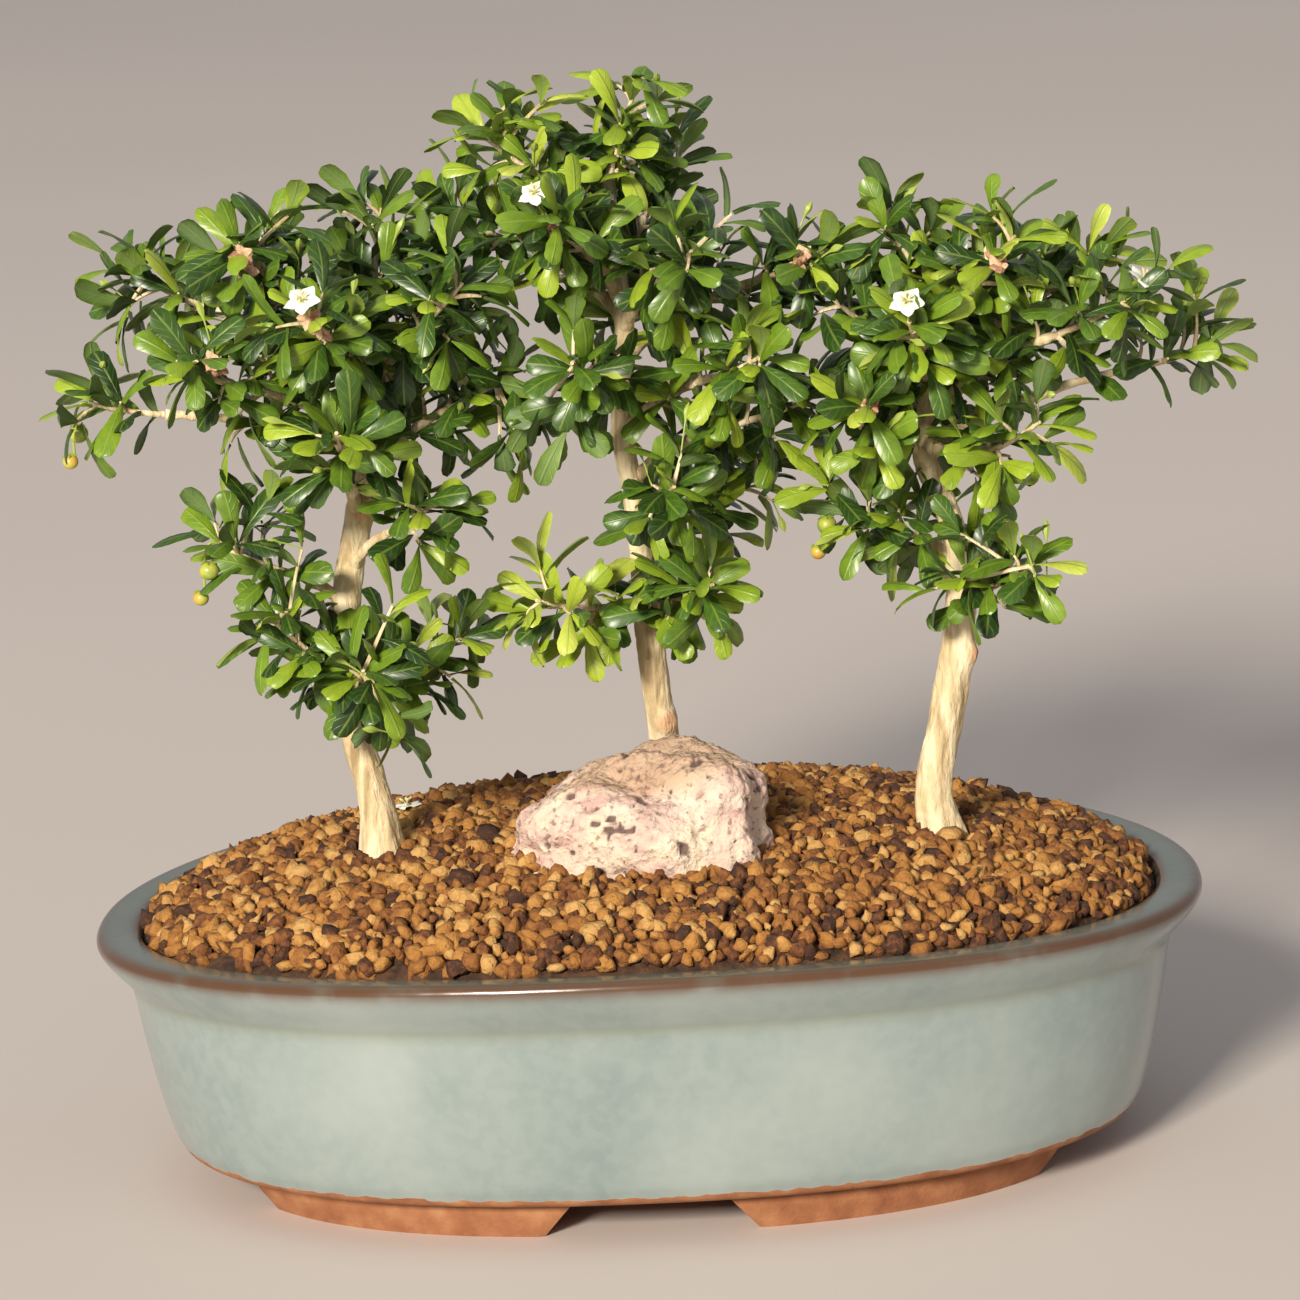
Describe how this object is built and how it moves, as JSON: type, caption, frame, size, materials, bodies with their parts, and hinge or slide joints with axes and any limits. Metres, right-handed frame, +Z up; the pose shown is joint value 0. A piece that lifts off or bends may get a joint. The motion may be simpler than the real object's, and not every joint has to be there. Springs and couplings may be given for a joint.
{
  "type": "fukien tea forest bonsai in a pot",
  "caption": "Bonsai forest planting: small fukien tea trees in leaf and flower with a pale rock on gritty soil, in a footed oval glazed pot.",
  "frame": {"origin": "middle of the bounding box's underside, on the plane of the feet; the middle of the pot lies a little to -X of it", "axes": "+Z up, +X along the pot's long side to the right seen from the front, +Y to the back"},
  "size_m": [0.327, 0.224, 0.2976],
  "materials": {
    "pot_clay_and_glaze": "celadon glaze that breaks brown on the rim's edge, bare orange clay on the feet and underside",
    "screen_plastic": "matt black plastic mesh",
    "grit": "coarse fired clay grit, matt, orange tan to red brown",
    "rock": "rough pitted cream and pink stone",
    "bark": "pale cream bark, finely cracked, greener in the shade",
    "foliage": "glossy leaves, dark green with lime young ones",
    "petals": "soft white petals",
    "berries": "smooth green to yellow berries"
  },
  "bodies": {
    "root": {"pot": "pot_clay_and_glaze", "drain_screen_left": "screen_plastic", "drain_screen_right": "screen_plastic", "soil": "grit", "rock": "rock", "fallen_blossom": "petals", "left_tree_wood": "bark", "left_spray_1": "foliage", "left_spray_2": "foliage", "left_spray_3": "foliage", "left_spray_4": "foliage", "left_spray_5": "foliage", "left_spray_6": "foliage", "left_spray_7": "foliage", "left_spray_8": "foliage", "left_spray_9": "foliage", "left_spray_10": "foliage", "left_spray_11": "foliage", "left_spray_12": "foliage", "left_spray_13": "foliage", "left_spray_14": "foliage", "left_spray_15": "foliage", "left_spray_16": "foliage", "left_blossom_1": "petals", "left_berries_1": "berries", "left_berries_2": "berries", "middle_tree_wood": "bark", "middle_spray_1": "foliage", "middle_spray_2": "foliage", "middle_spray_3": "foliage", "middle_spray_4": "foliage", "middle_spray_5": "foliage", "middle_spray_6": "foliage", "middle_spray_7": "foliage", "middle_spray_8": "foliage", "middle_spray_9": "foliage", "middle_spray_10": "foliage", "middle_spray_11": "foliage", "middle_spray_12": "foliage", "middle_spray_13": "foliage", "middle_spray_14": "foliage", "middle_spray_15": "foliage", "middle_blossom_1": "petals", "right_tree_wood": "bark", "right_spray_1": "foliage", "right_spray_2": "foliage", "right_spray_3": "foliage", "right_spray_4": "foliage", "right_spray_5": "foliage", "right_spray_6": "foliage", "right_spray_7": "foliage", "right_spray_8": "foliage", "right_spray_9": "foliage", "right_spray_10": "foliage", "right_spray_11": "foliage", "right_spray_12": "foliage", "right_spray_13": "foliage", "right_blossom_1": "petals", "right_blossom_2": "petals", "right_berries_1": "berries"}
  },
  "joints": []
}
